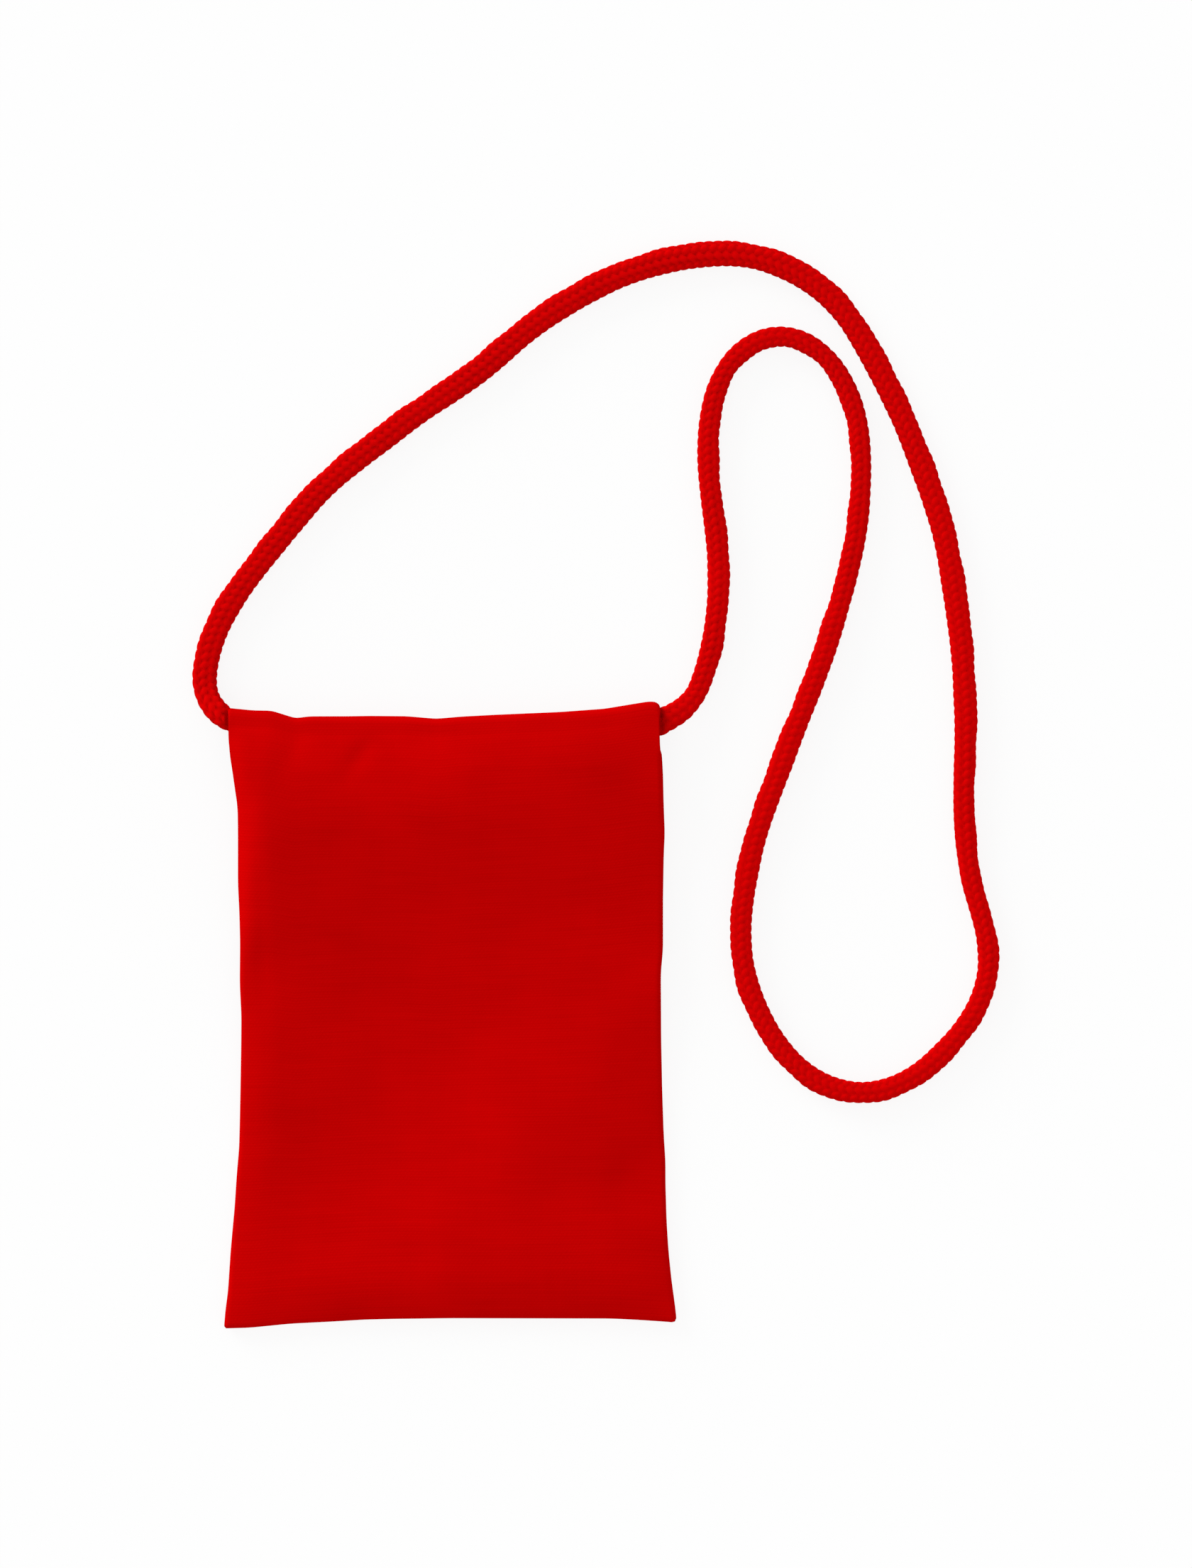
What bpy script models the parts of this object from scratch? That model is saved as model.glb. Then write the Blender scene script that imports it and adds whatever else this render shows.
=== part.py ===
"""Chest bag: a flat canvas pouch worn round the neck on a braided cord.

The bag lies as it is laid down, on its closed flap with the plain back uppermost.
+X is to the right and +Y towards the top fold; the floor is z = 0, in metres.
The pouch is one strip of canvas: front, bottom fold, back, top fold and flap.
"""

import math

import bmesh
import bpy
from mathutils import Vector

# Cloth
CLOTH = 0.0008            # thickness of the canvas
CLEARANCE = 0.0003        # gap between pieces that lie against each other

# Outline of the bag, seen from above
BODY_WIDTH = 0.1147       # side to side at half height, where the sides draw in
BODY_HEIGHT = 0.1637      # bottom fold to top fold along the middle
TOP_LEFT_OUT = 0.0038     # how far this corner stands out beyond the drawn-in side
TOP_LEFT_UP = 0.0029      # how far it stands out beyond the drawn-in end
TOP_RIGHT_OUT = 0.0006
TOP_RIGHT_UP = 0.0045
BOTTOM_LEFT_OUT = 0.0046
BOTTOM_LEFT_DOWN = 0.0029
BOTTOM_RIGHT_OUT = 0.0045
BOTTOM_RIGHT_DOWN = 0.0010
SIDE_CURVE = 2.4          # power of the sides' inward curve
END_CURVE = 2.2           # power of the inward curve of the top and bottom folds

# Form of the bag in height
EDGE_HEIGHT = 0.0030      # height of the turned side seams and of the bottom fold
RAMP_LENGTH = 0.040       # stretch over which the seams rise from floor to flap
SIDE_ROLL = 0.011         # width over which the back rounds up from each side seam
END_ROLL = 0.012          # and from the bottom and top folds
# Swell or sag of the back above its seams in millimetres, at these places across it and up it:
# a high soft roll below the top fold, a sag over the flap's end, and a ridge below that.
FORM_ACROSS = (-0.8, -0.4, 0.0, 0.4, 0.8)
FORM_UP = (0.05, 0.20, 0.35, 0.50, 0.65, 0.80, 0.95)
BACK_FORM_MM = [
    (2.0, 3.2, 2.5, 3.4, 3.4),
    (-0.2, -1.3, 3.4, 3.6, -0.8),
    (2.7, 1.6, 0.9, 4.4, 2.9),
    (0.7, -1.4, -1.2, 0.2, -0.5),
    (2.5, 1.2, 0.8, 0.2, 0.3),
    (8.3, 5.9, 5.5, 4.7, 1.8),
    (2.3, 0.0, 2.3, 1.1, 0.0),
]
FORM_BLEND = 0.75         # reach of each height, over the step between the places
SAG_SOFTNESS = 0.0002     # how softly a sag comes to rest on the front below it

# Flap and mouth
FLAP_LENGTH = 0.068       # top fold to the flap's end
FLAP_INSET = 0.0020       # flap's side inside the bag's side
FLAP_CORNER = 0.012
MOUTH_DROP = 0.0180       # front's open top edge below the top fold
SIDE_OPENING = 0.0125     # length of the side left open for the cord, below the top fold

# Hook and loop closure
TAPE_LENGTH = 0.050
TAPE_WIDTH = 0.020
TAPE_THICKNESS = 0.0012
TAPE_CORNER = 0.0025
TAPE_FROM_FLAP_END = 0.008
TAPE_MARGIN = 0.007       # width of the front round the tapes that lies at their height
TAPE_FADE = 0.012         # width beyond it over which the front comes down again

# Neck cord
CORD_DIAMETER = 0.0060
CORD_ROOM = 0.0012        # spare height for the cord inside the top fold
CORD_OFF_FLOOR = 0.0001
CORD_POINTS = 66
CORD_RISE_LENGTH = 0.014  # length over which the cord lifts off the floor into the bag
# Route in millimetres, from inside the left corner round to inside the right corner.
CORD_ROUTE_MM = [
    (-57.0, 75.0), (-61.2, 77.6), (-65.3, 82.6), (-67.3, 92.0), (-63.5, 107.6), (-50.1, 127.1),
    (-34.6, 145.1), (3.3, 173.7), (21.9, 188.5), (42.1, 200.9), (64.7, 207.9), (88.2, 206.4),
    (107.5, 193.0), (119.6, 172.6), (135.8, 128.1), (140.2, 92.8), (140.4, 57.1), (143.3, 33.6),
    (146.7, 10.4), (134.8, -9.8), (114.4, -20.8), (93.1, -12.3), (81.4, 8.2), (79.9, 31.8),
    (85.1, 54.9), (102.1, 99.3), (108.8, 122.1), (112.3, 145.6), (109.2, 169.0), (102.2, 181.2),
    (90.0, 185.9), (77.9, 180.9), (71.2, 165.0), (73.0, 122.0), (70.6, 99.0), (66.8, 89.0),
    (61.9, 82.1), (56.6, 78.9), (51.4, 78.0),
]

# Fineness of the cloth grid
PANEL_COLUMNS = 20
PANEL_ROWS = 27
OPENING_ROWS = 4
FOLD_STEPS = 8
FLAP_ROWS = 9

# Heights that follow from the sizes above
EDGE_RADIUS = (EDGE_HEIGHT - CLOTH) / 2
FOLD_RADIUS = (CORD_DIAMETER + CORD_ROOM + CLOTH) / 2
FLAP_Z = CLOTH / 2
LOW_SEAM_Z = EDGE_HEIGHT / 2
HIGH_SEAM_Z = FLAP_Z + FOLD_RADIUS
HOOK_Z = CLOTH + CLEARANCE
LOOP_Z = HOOK_Z + TAPE_THICKNESS + CLEARANCE
PANEL_OVER_TAPE_Z = LOOP_Z + TAPE_THICKNESS + CLEARANCE + CLOTH / 2
CENTRE_SHIFT_X = (max(TOP_RIGHT_OUT, BOTTOM_RIGHT_OUT) - max(TOP_LEFT_OUT, BOTTOM_LEFT_OUT)) / 2
CENTRE_SHIFT_Y = (max(TOP_LEFT_UP, TOP_RIGHT_UP) - max(BOTTOM_LEFT_DOWN, BOTTOM_RIGHT_DOWN)) / 2
TOP_Y = BODY_HEIGHT / 2 - CENTRE_SHIFT_Y
FLAP_END_Y = TOP_Y - FLAP_LENGTH
TAPE_Y = FLAP_END_Y + TAPE_FROM_FLAP_END + TAPE_WIDTH / 2


def clear_scene():
    for thing in list(bpy.data.objects):
        bpy.data.objects.remove(thing, do_unlink=True)


def smooth(value):
    """0 up to 0, 1 from 1 on, with a soft start and end between them."""
    value = min(max(value, 0.0), 1.0)
    return value * value * (3 - 2 * value)


def shares(places, at):
    """How much each of some evenly spaced places counts at this one; together they make 1."""
    reach = (places[1] - places[0]) * FORM_BLEND
    nearness = [math.exp(-(((at - place) / reach) ** 2)) for place in places]
    return [near / sum(nearness) for near in nearness]


def rounding(distance, width):
    """0 at an edge and 1 from the width inwards, rising steeply first and then gently."""
    return 1 - (1 - min(max(distance / width, 0.0), 1.0)) ** 2


def resting_on(height, lowest):
    """The height where it is well above the lowest, and a soft landing on the lowest elsewhere."""
    return lowest + SAG_SOFTNESS * math.log1p(math.exp((height - lowest) / SAG_SOFTNESS))


def make_material(name, colour, roughness):
    material = bpy.data.materials.new(name)
    material.use_nodes = True
    shader = material.node_tree.nodes["Principled BSDF"]
    shader.inputs["Base Color"].default_value = (*colour, 1.0)
    shader.inputs["Roughness"].default_value = roughness
    shader.inputs["Metallic"].default_value = 0.0
    return material


def half_width(across, up):
    """Middle line to the middle of the cloth at the side, with up from 0, bottom, to 1, top."""
    along = 2 * up - 1
    if across < 0:
        corner_out = TOP_LEFT_OUT if along > 0 else BOTTOM_LEFT_OUT
    else:
        corner_out = TOP_RIGHT_OUT if along > 0 else BOTTOM_RIGHT_OUT
    return (BODY_WIDTH - CLOTH) / 2 + corner_out * abs(along) ** SIDE_CURVE


def outline_point(across, up):
    """Plan position on the back, with across from -1, left, to 1, right."""
    bend = abs(across) ** END_CURVE
    half_height = (BODY_HEIGHT - CLOTH) / 2
    top = half_height + (TOP_LEFT_UP if across < 0 else TOP_RIGHT_UP) * bend
    bottom = -half_height - (BOTTOM_LEFT_DOWN if across < 0 else BOTTOM_RIGHT_DOWN) * bend
    x = across * half_width(across, up) - CENTRE_SHIFT_X
    y = bottom + (top - bottom) * up - CENTRE_SHIFT_Y
    return x, y


def edge_round(distance):
    """Quarter circle profile: 0 at the edge itself, 1 from one edge radius inwards."""
    inward = min(distance / EDGE_RADIUS, 1.0)
    return math.sqrt(max(0.0, 1 - (1 - inward) ** 2))


def closed_edges(across, up):
    """The round of the side seams and the bottom fold together."""
    from_side = (1 - abs(across)) * BODY_WIDTH / 2
    from_bottom = up * BODY_HEIGHT
    return edge_round(from_side) * edge_round(from_bottom)


def seam_height(y):
    """The side seams lie on the floor at the bottom and on the flap at the top."""
    rise = smooth((y - FLAP_END_Y + RAMP_LENGTH) / RAMP_LENGTH)
    return LOW_SEAM_Z + (HIGH_SEAM_Z - LOW_SEAM_Z) * rise


def over_tape(x, y):
    """1 over the closure tapes and a little round them, fading to 0 beyond."""
    beyond_x = max(0.0, abs(x + CENTRE_SHIFT_X) - TAPE_LENGTH / 2 - TAPE_MARGIN)
    beyond_y = max(0.0, abs(y - TAPE_Y) - TAPE_WIDTH / 2 - TAPE_MARGIN)
    return 1 - smooth(math.hypot(beyond_x, beyond_y) / TAPE_FADE)


def front_point(across, up):
    x, y = outline_point(across, up)
    lowest = seam_height(y) - EDGE_RADIUS * closed_edges(across, up)
    lift = PANEL_OVER_TAPE_Z - (HIGH_SEAM_Z - EDGE_RADIUS)
    return Vector((x, y, lowest + lift * over_tape(x, y)))


def back_relief(across, up):
    """Swell and sag of the back above its seams, nothing at its edges."""
    fold_start = 1 - FOLD_RADIUS / BODY_HEIGHT
    across_shares = shares(FORM_ACROSS, across)
    height = 0.0
    for row_share, row in zip(shares(FORM_UP, up), BACK_FORM_MM):
        height += row_share * sum(share * value / 1000 for share, value in zip(across_shares, row))
    inner = rounding((1 - abs(across)) * BODY_WIDTH / 2, SIDE_ROLL)
    inner *= rounding(up * BODY_HEIGHT, END_ROLL) * rounding((fold_start - up) * BODY_HEIGHT, END_ROLL)
    return height * inner


def back_point(across, up):
    x, y = outline_point(across, up)
    mouth = 1 - MOUTH_DROP / BODY_HEIGHT
    open_from = 1 - SIDE_OPENING / BODY_HEIGHT
    rise = smooth((up - mouth + RAMP_LENGTH / 2 / BODY_HEIGHT) * 2 * BODY_HEIGHT / RAMP_LENGTH)
    height = EDGE_RADIUS + (FOLD_RADIUS - EDGE_RADIUS) * rise
    opened = smooth((up - mouth) / (open_from - mouth))
    closed = closed_edges(across, up)
    edge = closed + (1 - closed) * opened
    z = seam_height(y) + height * edge + back_relief(across, up)
    on_front = front_point(across, up).z + (CLOTH + 2 * CLEARANCE) * closed
    return Vector((x, y, resting_on(z, on_front)))


def fold_point(across, turn):
    """Top fold, with turn from 0, where the back ends, to 1, where the flap begins."""
    x, y = outline_point(across, 1 - FOLD_RADIUS / BODY_HEIGHT)
    angle = math.pi * (0.5 - turn)
    return Vector((x, y + FOLD_RADIUS * math.cos(angle), HIGH_SEAM_Z + FOLD_RADIUS * math.sin(angle)))


def flap_point(across, down):
    """Flap, flat on the floor, with down from 0 at the fold to 1 at its round-cornered end."""
    fold_start = 1 - FOLD_RADIUS / BODY_HEIGHT
    _, fold_y = outline_point(across, fold_start)
    end_half = BODY_WIDTH / 2 - FLAP_INSET
    into_corner = max(0.0, abs(across) * end_half - (end_half - FLAP_CORNER))
    rounded = FLAP_CORNER - math.sqrt(FLAP_CORNER**2 - min(into_corner, FLAP_CORNER) ** 2)
    end_y = FLAP_END_Y + rounded
    y = fold_y + (end_y - fold_y) * down
    level = fold_start - (fold_y - y) / BODY_HEIGHT
    narrowed = half_width(across, level) - FLAP_INSET * smooth((fold_y - y) / FLAP_CORNER)
    return Vector((across * narrowed - CENTRE_SHIFT_X, y, FLAP_Z))


def edge_then_even(edge_step, end, count):
    """Two short steps round an edge, then even steps on to the end."""
    even = [edge_step + (end - edge_step) * i / count for i in range(count + 1)]
    return [0.0, edge_step / 2] + even


def cloth_columns():
    """Places across the strip, from -1 to 1, closer together at the side seams."""
    right_half = edge_then_even(2 * EDGE_RADIUS / BODY_WIDTH, 1.0, PANEL_COLUMNS // 2)
    left = [-1 + step for step in right_half]
    return left + [-place for place in reversed(left[:-1])]


def cloth_rows():
    """One entry for each row of the strip: the surface it is on and its place there."""
    mouth = 1 - MOUTH_DROP / BODY_HEIGHT
    fold_start = 1 - FOLD_RADIUS / BODY_HEIGHT
    panel = edge_then_even(EDGE_RADIUS / BODY_HEIGHT, mouth, PANEL_ROWS)
    opening = [mouth + (fold_start - mouth) * i / OPENING_ROWS for i in range(1, OPENING_ROWS + 1)]
    rows = [(front_point, up) for up in reversed(panel[1:])]
    rows += [(back_point, up) for up in panel + opening]
    rows += [(fold_point, i / FOLD_STEPS) for i in range(1, FOLD_STEPS)]
    rows += [(flap_point, i / FLAP_ROWS) for i in range(FLAP_ROWS + 1)]
    return rows


def make_pouch(collection, material):
    """A flat grid, the cut strip, is folded row by row, then its side seams are joined."""
    columns = cloth_columns()
    rows = cloth_rows()
    strip = bmesh.new()
    bmesh.ops.create_grid(strip, x_segments=len(columns) - 1, y_segments=len(rows) - 1, size=1)
    for corner in strip.verts:
        column = round((corner.co.x + 1) / 2 * (len(columns) - 1))
        row = round((corner.co.y + 1) / 2 * (len(rows) - 1))
        surface, place = rows[row]
        corner.co = surface(columns[column], place)
    bmesh.ops.remove_doubles(strip, verts=strip.verts, dist=1e-5)
    bmesh.ops.recalc_face_normals(strip, faces=strip.faces)
    mesh = bpy.data.meshes.new("pouch_shell")
    strip.to_mesh(mesh)
    strip.free()
    pouch = bpy.data.objects.new("pouch_shell", mesh)
    collection.objects.link(pouch)
    wall = pouch.modifiers.new("cloth_thickness", "SOLIDIFY")
    wall.thickness = CLOTH
    wall.offset = 0.0
    wall.use_even_offset = True
    mesh.materials.append(material)
    mesh.shade_smooth()
    return pouch


def make_tape(name, bottom_z, collection, material):
    """One half of the closure: a flat tape with its four upright edges rounded."""
    bpy.ops.mesh.primitive_cube_add(size=1, location=(0, 0, 0))
    tape = bpy.context.object
    tape.name = name
    tape.data.name = name
    size = Vector((TAPE_LENGTH, TAPE_WIDTH, TAPE_THICKNESS))
    place = Vector((-CENTRE_SHIFT_X, TAPE_Y, bottom_z + TAPE_THICKNESS / 2))
    block = bmesh.new()
    block.from_mesh(tape.data)
    for corner in block.verts:
        corner.co = corner.co * size
    upright = [edge for edge in block.edges if edge.verts[0].co.z * edge.verts[1].co.z < 0]
    bmesh.ops.bevel(block, geom=upright, offset=TAPE_CORNER, segments=4, affect="EDGES", profile=0.5)
    block.to_mesh(tape.data)
    block.free()
    tape.location = place
    for holder in list(tape.users_collection):
        holder.objects.unlink(tape)
    collection.objects.link(tape)
    tape.data.materials.append(material)
    return tape


def cord_centreline():
    """Even points on a smooth curve through the route, with the ends lifted into the bag."""
    route = [Vector((x / 1000, y / 1000)) for x, y in CORD_ROUTE_MM]
    route = [2 * route[0] - route[1]] + route + [2 * route[-1] - route[-2]]
    fine = []
    for before, start, end, after in zip(route, route[1:], route[2:], route[3:]):
        for step in range(16):
            t = step / 16
            pull = (end - before) * t + (2 * before - 5 * start + 4 * end - after) * t**2
            pull += (3 * start - before - 3 * end + after) * t**3
            fine.append(start + pull / 2)
    fine.append(route[-2])
    walked = [0.0]
    for here, there in zip(fine, fine[1:]):
        walked.append(walked[-1] + (there - here).length)
    total = walked[-1]
    on_floor = CORD_DIAMETER / 2 + CORD_OFF_FLOOR
    points = []
    at = 0
    for number in range(CORD_POINTS):
        target = total * number / (CORD_POINTS - 1)
        while at < len(fine) - 2 and walked[at + 1] < target:
            at += 1
        share = (target - walked[at]) / (walked[at + 1] - walked[at])
        place = fine[at].lerp(fine[at + 1], min(share, 1.0))
        from_end = min(target, total - target)
        lifted = 1 - smooth((from_end - CORD_RISE_LENGTH / 2) / CORD_RISE_LENGTH)
        points.append((place.x, place.y, on_floor + (HIGH_SEAM_Z - on_floor) * lifted))
    return points


def make_cord(collection, material):
    data = bpy.data.curves.new("neck_cord", "CURVE")
    data.dimensions = "3D"
    data.bevel_depth = CORD_DIAMETER / 2
    data.bevel_resolution = 3
    data.use_fill_caps = True
    spline = data.splines.new("POLY")
    points = cord_centreline()
    spline.points.add(len(points) - 1)
    for knot, place in zip(spline.points, points):
        knot.co = (*place, 1.0)
    cord = bpy.data.objects.new("neck_cord", data)
    collection.objects.link(cord)
    data.materials.append(material)
    return cord


clear_scene()
bag = bpy.data.collections.new("chest_bag")
bpy.context.scene.collection.children.link(bag)
canvas = make_material("red_canvas", (0.50, 0.002, 0.002), 0.9)
braid = make_material("red_braid", (0.68, 0.002, 0.002), 0.7)
hooks = make_material("red_hook_tape", (0.45, 0.003, 0.003), 0.6)
loops = make_material("red_loop_tape", (0.48, 0.003, 0.003), 0.95)
make_pouch(bag, canvas)
make_tape("hook_tape", HOOK_Z, bag, hooks)
make_tape("loop_tape", LOOP_Z, bag, loops)
make_cord(bag, braid)
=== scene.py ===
import bmesh
import bpy
import numpy as np
from mathutils import Matrix


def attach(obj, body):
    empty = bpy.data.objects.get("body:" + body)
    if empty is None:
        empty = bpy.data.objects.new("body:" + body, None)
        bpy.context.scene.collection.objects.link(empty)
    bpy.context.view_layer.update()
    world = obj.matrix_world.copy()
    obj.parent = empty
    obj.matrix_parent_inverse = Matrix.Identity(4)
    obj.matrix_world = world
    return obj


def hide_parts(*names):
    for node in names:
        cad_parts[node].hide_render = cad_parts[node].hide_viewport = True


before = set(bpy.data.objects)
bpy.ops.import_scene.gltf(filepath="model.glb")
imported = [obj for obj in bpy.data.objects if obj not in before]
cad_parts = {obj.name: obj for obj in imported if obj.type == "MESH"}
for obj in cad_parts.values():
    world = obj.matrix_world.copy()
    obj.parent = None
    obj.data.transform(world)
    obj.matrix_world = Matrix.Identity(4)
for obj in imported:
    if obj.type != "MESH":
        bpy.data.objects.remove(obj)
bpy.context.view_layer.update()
scene = bpy.context.scene
scene.view_settings.view_transform = "Standard"


# The view: a camera straight above the bag, which lies on its flap on a white table.
# The frame is as wide and as high as the photograph is at the real size of the bag.
VIEW_HEIGHT = 0.4291
VIEW_CENTRE = (0.0397, 0.06347)
BAG_LEVEL = 0.003
CAMERA_RISE = 2.0
SENSOR_MM = 24

bpy.ops.object.select_all(action="DESELECT")
bpy.ops.object.camera_add(location=(*VIEW_CENTRE, BAG_LEVEL + CAMERA_RISE), rotation=(0, 0, 0))
camera = bpy.context.object
camera.data.sensor_fit = "VERTICAL"
camera.data.sensor_height = SENSOR_MM
camera.data.lens = SENSOR_MM * CAMERA_RISE / VIEW_HEIGHT
scene.camera = camera


# Neck cord: a limp braid of soft red strands, 6 mm thick, whose two ends are sewn inside the
# bag's top corners. Its floats stand in eight columns round it, leaning to one side in one
# column and to the other in the next, and each float's end tucks under its neighbour's side.
CORD_DIAMETER = 0.0060
CORD_ROUTE_MM = [
    (-53.0, 78.8), (-60.9, 81.1), (-66.6, 87.5), (-66.9, 97.1), (-62.3, 110.0), (-50.1, 127.2),
    (-34.3, 145.4), (-13.7, 161.9), (6.8, 176.2), (25.7, 191.5), (43.9, 201.7), (62.2, 207.5),
    (79.1, 208.4), (92.8, 204.5), (104.6, 196.1), (114.8, 181.7), (126.0, 158.2), (134.4, 134.0),
    (138.7, 110.5), (140.9, 83.9), (140.4, 59.8), (142.1, 38.9), (146.8, 20.7), (146.1, 8.1),
    (140.1, -3.8), (129.5, -14.7), (118.3, -20.2), (107.2, -20.5), (96.9, -15.6), (87.8, -5.4),
    (81.2, 8.8), (79.4, 25.2), (82.4, 45.2), (90.2, 68.6), (100.1, 93.9), (108.2, 119.5),
    (112.0, 141.9), (111.5, 160.3), (107.1, 174.0), (100.2, 182.3), (91.7, 185.8), (83.0, 184.1),
    (75.8, 177.7), (71.5, 166.5), (70.5, 149.3), (73.2, 125.5), (72.1, 105.1), (68.4, 91.2),
    (64.2, 84.9), (57.6, 80.6), (51.5, 79.0),
]
# Widths of the cord at these distances along it: the braid is looser in its first half.
CORD_WIDTH_MM = [
    (0, 5.3), (9, 5.6), (16, 6.8), (30, 6.8), (60, 6.8), (90, 6.9), (150, 7.0), (210, 6.9),
    (240, 6.75), (330, 6.5), (360, 6.3), (390, 5.85), (420, 5.55), (460, 5.8), (510, 5.85),
    (560, 5.9), (600, 6.2), (630, 6.0), (660, 5.7), (720, 5.4), (750, 5.5), (780, 5.95),
    (825, 6.0), (843, 5.3), (849, 7.6), (860, 8.2),
]
WIDTH_REACH = 0.006          # each width is averaged over this length each way
CORD_GIRTH = 0.0110          # width and thickness together: where it is wide it lies flat
CORD_THICKEST = 0.80         # its greatest thickness as a share of its width
CORD_SQUARE = 3.2            # how square its section is: 2 would be an ellipse
SECTION_POINTS = 721
CORD_IN_BAG = 0.0044         # height of its middle inside the top fold
CORD_OFF_TABLE = 0.00015
CORD_RISE = 0.014            # length over which it comes down from the fold to the table
CORD_PINCHED_X = (-0.0609, 0.0572)   # the bag's edges pinch it here, where it leaves the fold
PINCHED_BELOW_Y = 0.090
PINCH_DEPTH = 0.4            # share of its thickness
PINCH_REACH = 0.0006
UNEVEN_WIDTH = (0.00016, 0.3)    # how far its width strays, and where it starts in the swings
UNEVEN_LINE = (0.00012, 0.8)     # and its line
UNEVEN_SWINGS = ((190, 0.4), (370, 0.35), (610, 0.25))   # pace in radians per metre, and share
TWIST_SWINGS = ((21, 0.022, 0.0), (47, 0.016, 1.3))      # pace, share of a turn, and start
ROUTE_STEPS = 24             # fine points between two points of the route
CENTRE_STEP = 0.002
LOOK_AHEAD = 0.0001          # its direction is taken this far ahead and back
FLOAT_COLUMNS = 8
FLOAT_PITCH = 0.00243        # from one float to the next along a column
FLOAT_PUFF = 0.00070         # how far a float stands out over the gaps round it
FLOAT_PROUD = 0.0001         # how far its crest stands out past the cord's own size
FLOAT_OVAL = (0.65, 0.62)    # half its size: along, over the pitch, and across, over a column
FLOAT_LEAN = 0.40            # how far it leans, as its rise along the cord over its width
FLOAT_TUCK = 0.15            # how far its sides swing in and out, over a column's width
FLOAT_RINGS = 6              # rings of vertices to a pitch
FLOAT_EDGES = 5              # edges across a column
MAP_SPREAD = 3               # the columns lie this many widths apart in the map of the strands
GAP_SLANT = 36               # degrees between the cord and the painted shade of the gap at a float's end
GAP_REACH = (0.0011, 0.00032)    # half the length and half the width of that gap
PAINTED_GAP_SHADE = 0.65              # how deep the gap's painted shade is, and the painted shade in the hollows round the floats
PAINTED_HOLLOW_SHADE = 0.3
# How open the gaps are at these distances along the cord, in thousandths: this scales their painted
# shade.
GAP_OPEN = [(0, 1000), (200, 1000), (320, 500), (600, 500), (720, 800), (860, 800)]
WELD = 1e-6                  # vertices closer than this become one
CORD_RED = (0.60, 0.0005, 0.0007, 1)
# The darker red is that of the painted shade in the gaps and in the hollows round the floats.
CORD_SHADED_RED = (0.27, 0.0002, 0.0003, 1)
# How far each of these moves the cord between its red and its shaded red; the gaps' share is painted
# shade.
GAP_SHADE = (1.6, 0.2)       # with the looseness, and without it
FILAMENT_SHADE = 0.4
MOTTLE_SHADE = 0.3
CORD_LIFT = 0.1              # how far it is lighter all over


def smooth(value):
    """0 up to 0, 1 from 1 on, with a soft start and end between them."""
    value = np.clip(value, 0.0, 1.0)
    return value * value * (3 - 2 * value)


def eased(stations_mm, at, reach=0.002, samples=7):
    """Values in metres on the line through the stations, averaged over the reach each way."""
    places, values = np.array(stations_mm).T / 1000
    shifts = np.linspace(-reach, reach, samples)
    return sum(np.interp(at + shift, places, values) for shift in shifts) / len(shifts)


def cord_section(walked):
    """Half the cord's width and half its thickness at those distances along it."""
    width = eased(CORD_WIDTH_MM, walked, WIDTH_REACH)
    return width / 2, np.minimum(width * CORD_THICKEST, CORD_GIRTH - width) / 2


def round_section(share, half_width, half_thick):
    """Places round a flattened section of half width 1 and half thickness 1, after those
    shares of the way round it. The way is measured on the section at its real size."""
    angle = np.linspace(0, 2 * np.pi, SECTION_POINTS)
    sideways = np.sign(np.cos(angle)) * np.abs(np.cos(angle)) ** (2 / CORD_SQUARE)
    upward = np.sign(np.sin(angle)) * np.abs(np.sin(angle)) ** (2 / CORD_SQUARE)
    places = []
    for ring_share, wide, thick in zip(share % 1, half_width.mean(axis=1), half_thick.mean(axis=1)):
        steps = np.hypot(np.diff(sideways) * wide, np.diff(upward) * thick)
        way = np.concatenate([[0.0], np.cumsum(steps)])
        at = ring_share * way[-1]
        places.append((np.interp(at, way, sideways), np.interp(at, way, upward)))
    return np.moveaxis(np.array(places), 1, 0)


def uneven(where, start):
    """Small irregular swings, one to three centimetres long, between about -1 and 1."""
    return sum(share * np.sin((where + start) * pace) for pace, share in UNEVEN_SWINGS)


def cord_line():
    """The distance walked along the cord at many fine points of a smooth curve through its
    route, and the points themselves."""
    route = np.array(CORD_ROUTE_MM) / 1000
    route = np.vstack([2 * route[0] - route[1], route, 2 * route[-1] - route[-2]])
    t = np.arange(ROUTE_STEPS)[:, None] / ROUTE_STEPS
    spans = []
    for before, start, end, after in zip(route, route[1:], route[2:], route[3:]):
        bend = (end - before) * t + (2 * before - 5 * start + 4 * end - after) * t**2
        bend += (3 * start - before - 3 * end + after) * t**3
        spans.append(start + bend / 2)
    plan = np.vstack(spans + [route[-2:-1]])
    walked = np.concatenate([[0.0], np.cumsum(np.hypot(*np.diff(plan, axis=0).T))])
    from_end = np.minimum(walked, walked[-1] - walked)
    lifted = 1 - smooth((from_end - CORD_RISE / 2) / CORD_RISE)
    resting = cord_section(walked)[1] + CORD_OFF_TABLE
    height = resting + (CORD_IN_BAG - resting) * lifted
    return walked, np.column_stack([plan, height])


def at_length(walked, line, where):
    """Points of the line at those lengths along it."""
    return np.stack([np.interp(where, walked, line[:, axis]) for axis in range(3)], axis=-1)


def grid_piece(name, columns, rows):
    """A flat grid with its own mesh, to be bent into a piece; its vertices run row by row."""
    bpy.ops.object.select_all(action="DESELECT")
    bpy.ops.mesh.primitive_grid_add(x_subdivisions=columns, y_subdivisions=rows, size=1)
    piece = bpy.context.object
    piece.name = name
    piece.data.name = name
    return piece


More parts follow.
